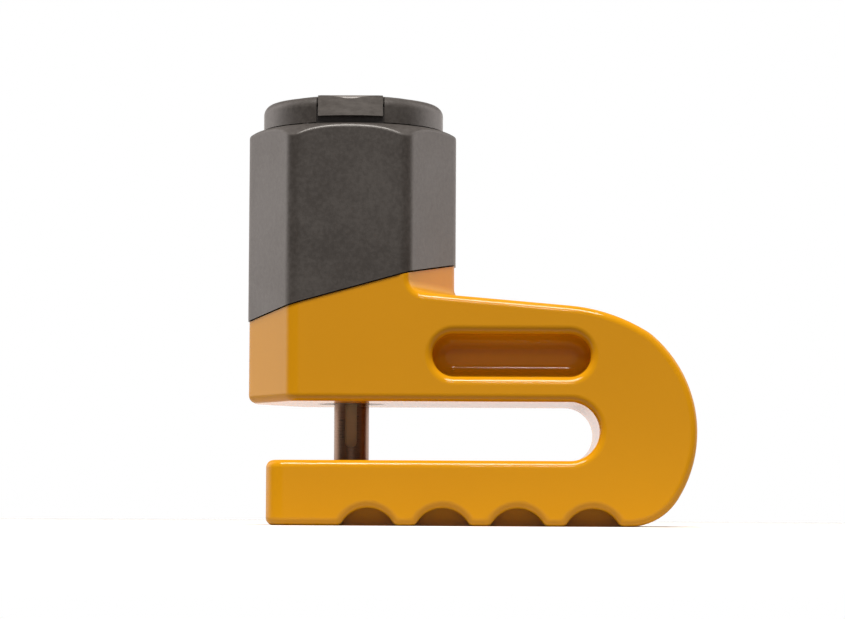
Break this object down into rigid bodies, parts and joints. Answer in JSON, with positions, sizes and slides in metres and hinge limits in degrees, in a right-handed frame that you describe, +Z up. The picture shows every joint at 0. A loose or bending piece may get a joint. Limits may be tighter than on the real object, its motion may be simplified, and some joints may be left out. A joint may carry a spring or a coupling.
{
  "type": "disc brake lock",
  "caption": "Push-to-lock motorcycle disc brake lock: yellow U-shaped body, black faceted head, steel pin across the disc gap, keyed cylinder under a dust lid",
  "frame": {"origin": "centre of the overall box in plan, on the flat underside of the lower jaw", "axes": "+X from the locking pin towards the closed bend, +Y from the front face to the back face, +Z up from the lower jaw to the push cap"},
  "size_m": [0.0696, 0.0312, 0.0664],
  "materials": {
    "yellow_paint": "thick glossy yellow-orange paint on die-cast zinc",
    "black_plastic": "satin moulded black plastic",
    "black_rubber": "plain black rubber",
    "pin_steel": "dark hardened steel, ground along its length",
    "bright_steel": "bright turned steel",
    "hardened_steel": "grey hardened steel",
    "spring_steel": "drawn spring wire",
    "cast_zinc": "machined zinc die casting, satin",
    "lock_brass": "machined brass"
  },
  "bodies": {
    "casting": {"body_casting": "yellow_paint", "head_cover": "black_plastic", "cover_screws": "bright_steel", "bore_wiper": "black_rubber", "pin_wiper": "black_rubber", "guide_bush": "hardened_steel", "guide_dowel": "hardened_steel", "socket_insert": "hardened_steel", "return_spring": "spring_steel"},
    "plunger": {"cylinder_shell": "cast_zinc", "push_cap": "black_plastic", "cap_snap_ring": "spring_steel", "locking_pin": "pin_steel", "pin_cross_pin": "bright_steel", "shell_o_ring": "black_rubber", "plug_retaining_pin": "bright_steel", "lid_hinge_pin": "bright_steel", "lid_gasket": "black_rubber"},
    "plug": {"plug_carrier": "lock_brass", "lock_discs": "lock_brass", "spacer_discs": "lock_brass", "sidebar": "bright_steel", "front_plate": "hardened_steel", "cam_tailpiece": "hardened_steel"},
    "latch": {"latch_bolt": "hardened_steel"},
    "lid": {"dust_lid": "black_plastic"}
  },
  "joints": [
    {"name": "plunger_slide", "type": "slide", "parent": "casting", "child": "plunger", "axis": [0, 0, 1], "range_m": [0, 0.015], "deforming": ["return_spring"]},
    {"name": "plug_turn", "type": "hinge", "parent": "plunger", "child": "plug", "pos_m": [-0.01852, 0, 0.055], "axis": [0, 0, 1], "range_deg": [0, 90]},
    {"name": "latch_slide", "type": "slide", "parent": "plunger", "child": "latch", "axis": [1, 0, 0], "range_m": [0, 0.0024]},
    {"name": "lid_hinge", "type": "hinge", "parent": "plunger", "child": "lid", "pos_m": [-0.01852, 0.0112, 0.065], "axis": [-1, 0, 0], "range_deg": [0, 105]}
  ],
  "couplings": [
    {"joint": "latch_slide", "follows": "plug_turn", "m_per_rad": 0.0014642}
  ]
}
